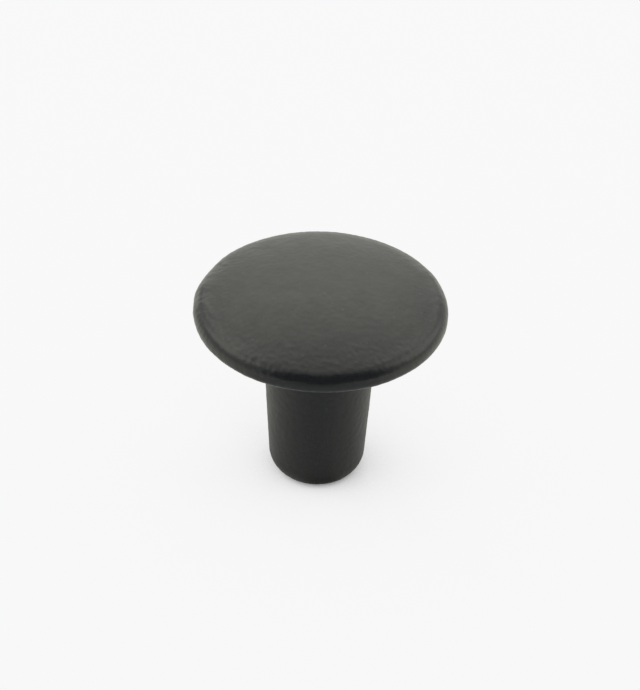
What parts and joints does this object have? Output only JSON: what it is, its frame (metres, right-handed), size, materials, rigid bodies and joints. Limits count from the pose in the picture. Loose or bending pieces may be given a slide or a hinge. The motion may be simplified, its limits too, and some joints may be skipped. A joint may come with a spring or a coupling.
{
  "type": "cabinet knob",
  "caption": "Mushroom cabinet knob with a shallow domed head on a short tapered stem, black-coated cast iron, fixed by a machine screw up its base.",
  "frame": {"origin": "centre of the stem's flat base, where the knob meets the drawer front", "axes": "+Z along the knob's axis, from the drawer front out to the crown; X and Y are alike, as the knob is round"},
  "size_m": [0.032, 0.032, 0.03],
  "materials": {
    "black_iron": "satin black coat over a cast surface"
  },
  "bodies": {
    "root": {"knob": "black_iron"}
  },
  "joints": []
}
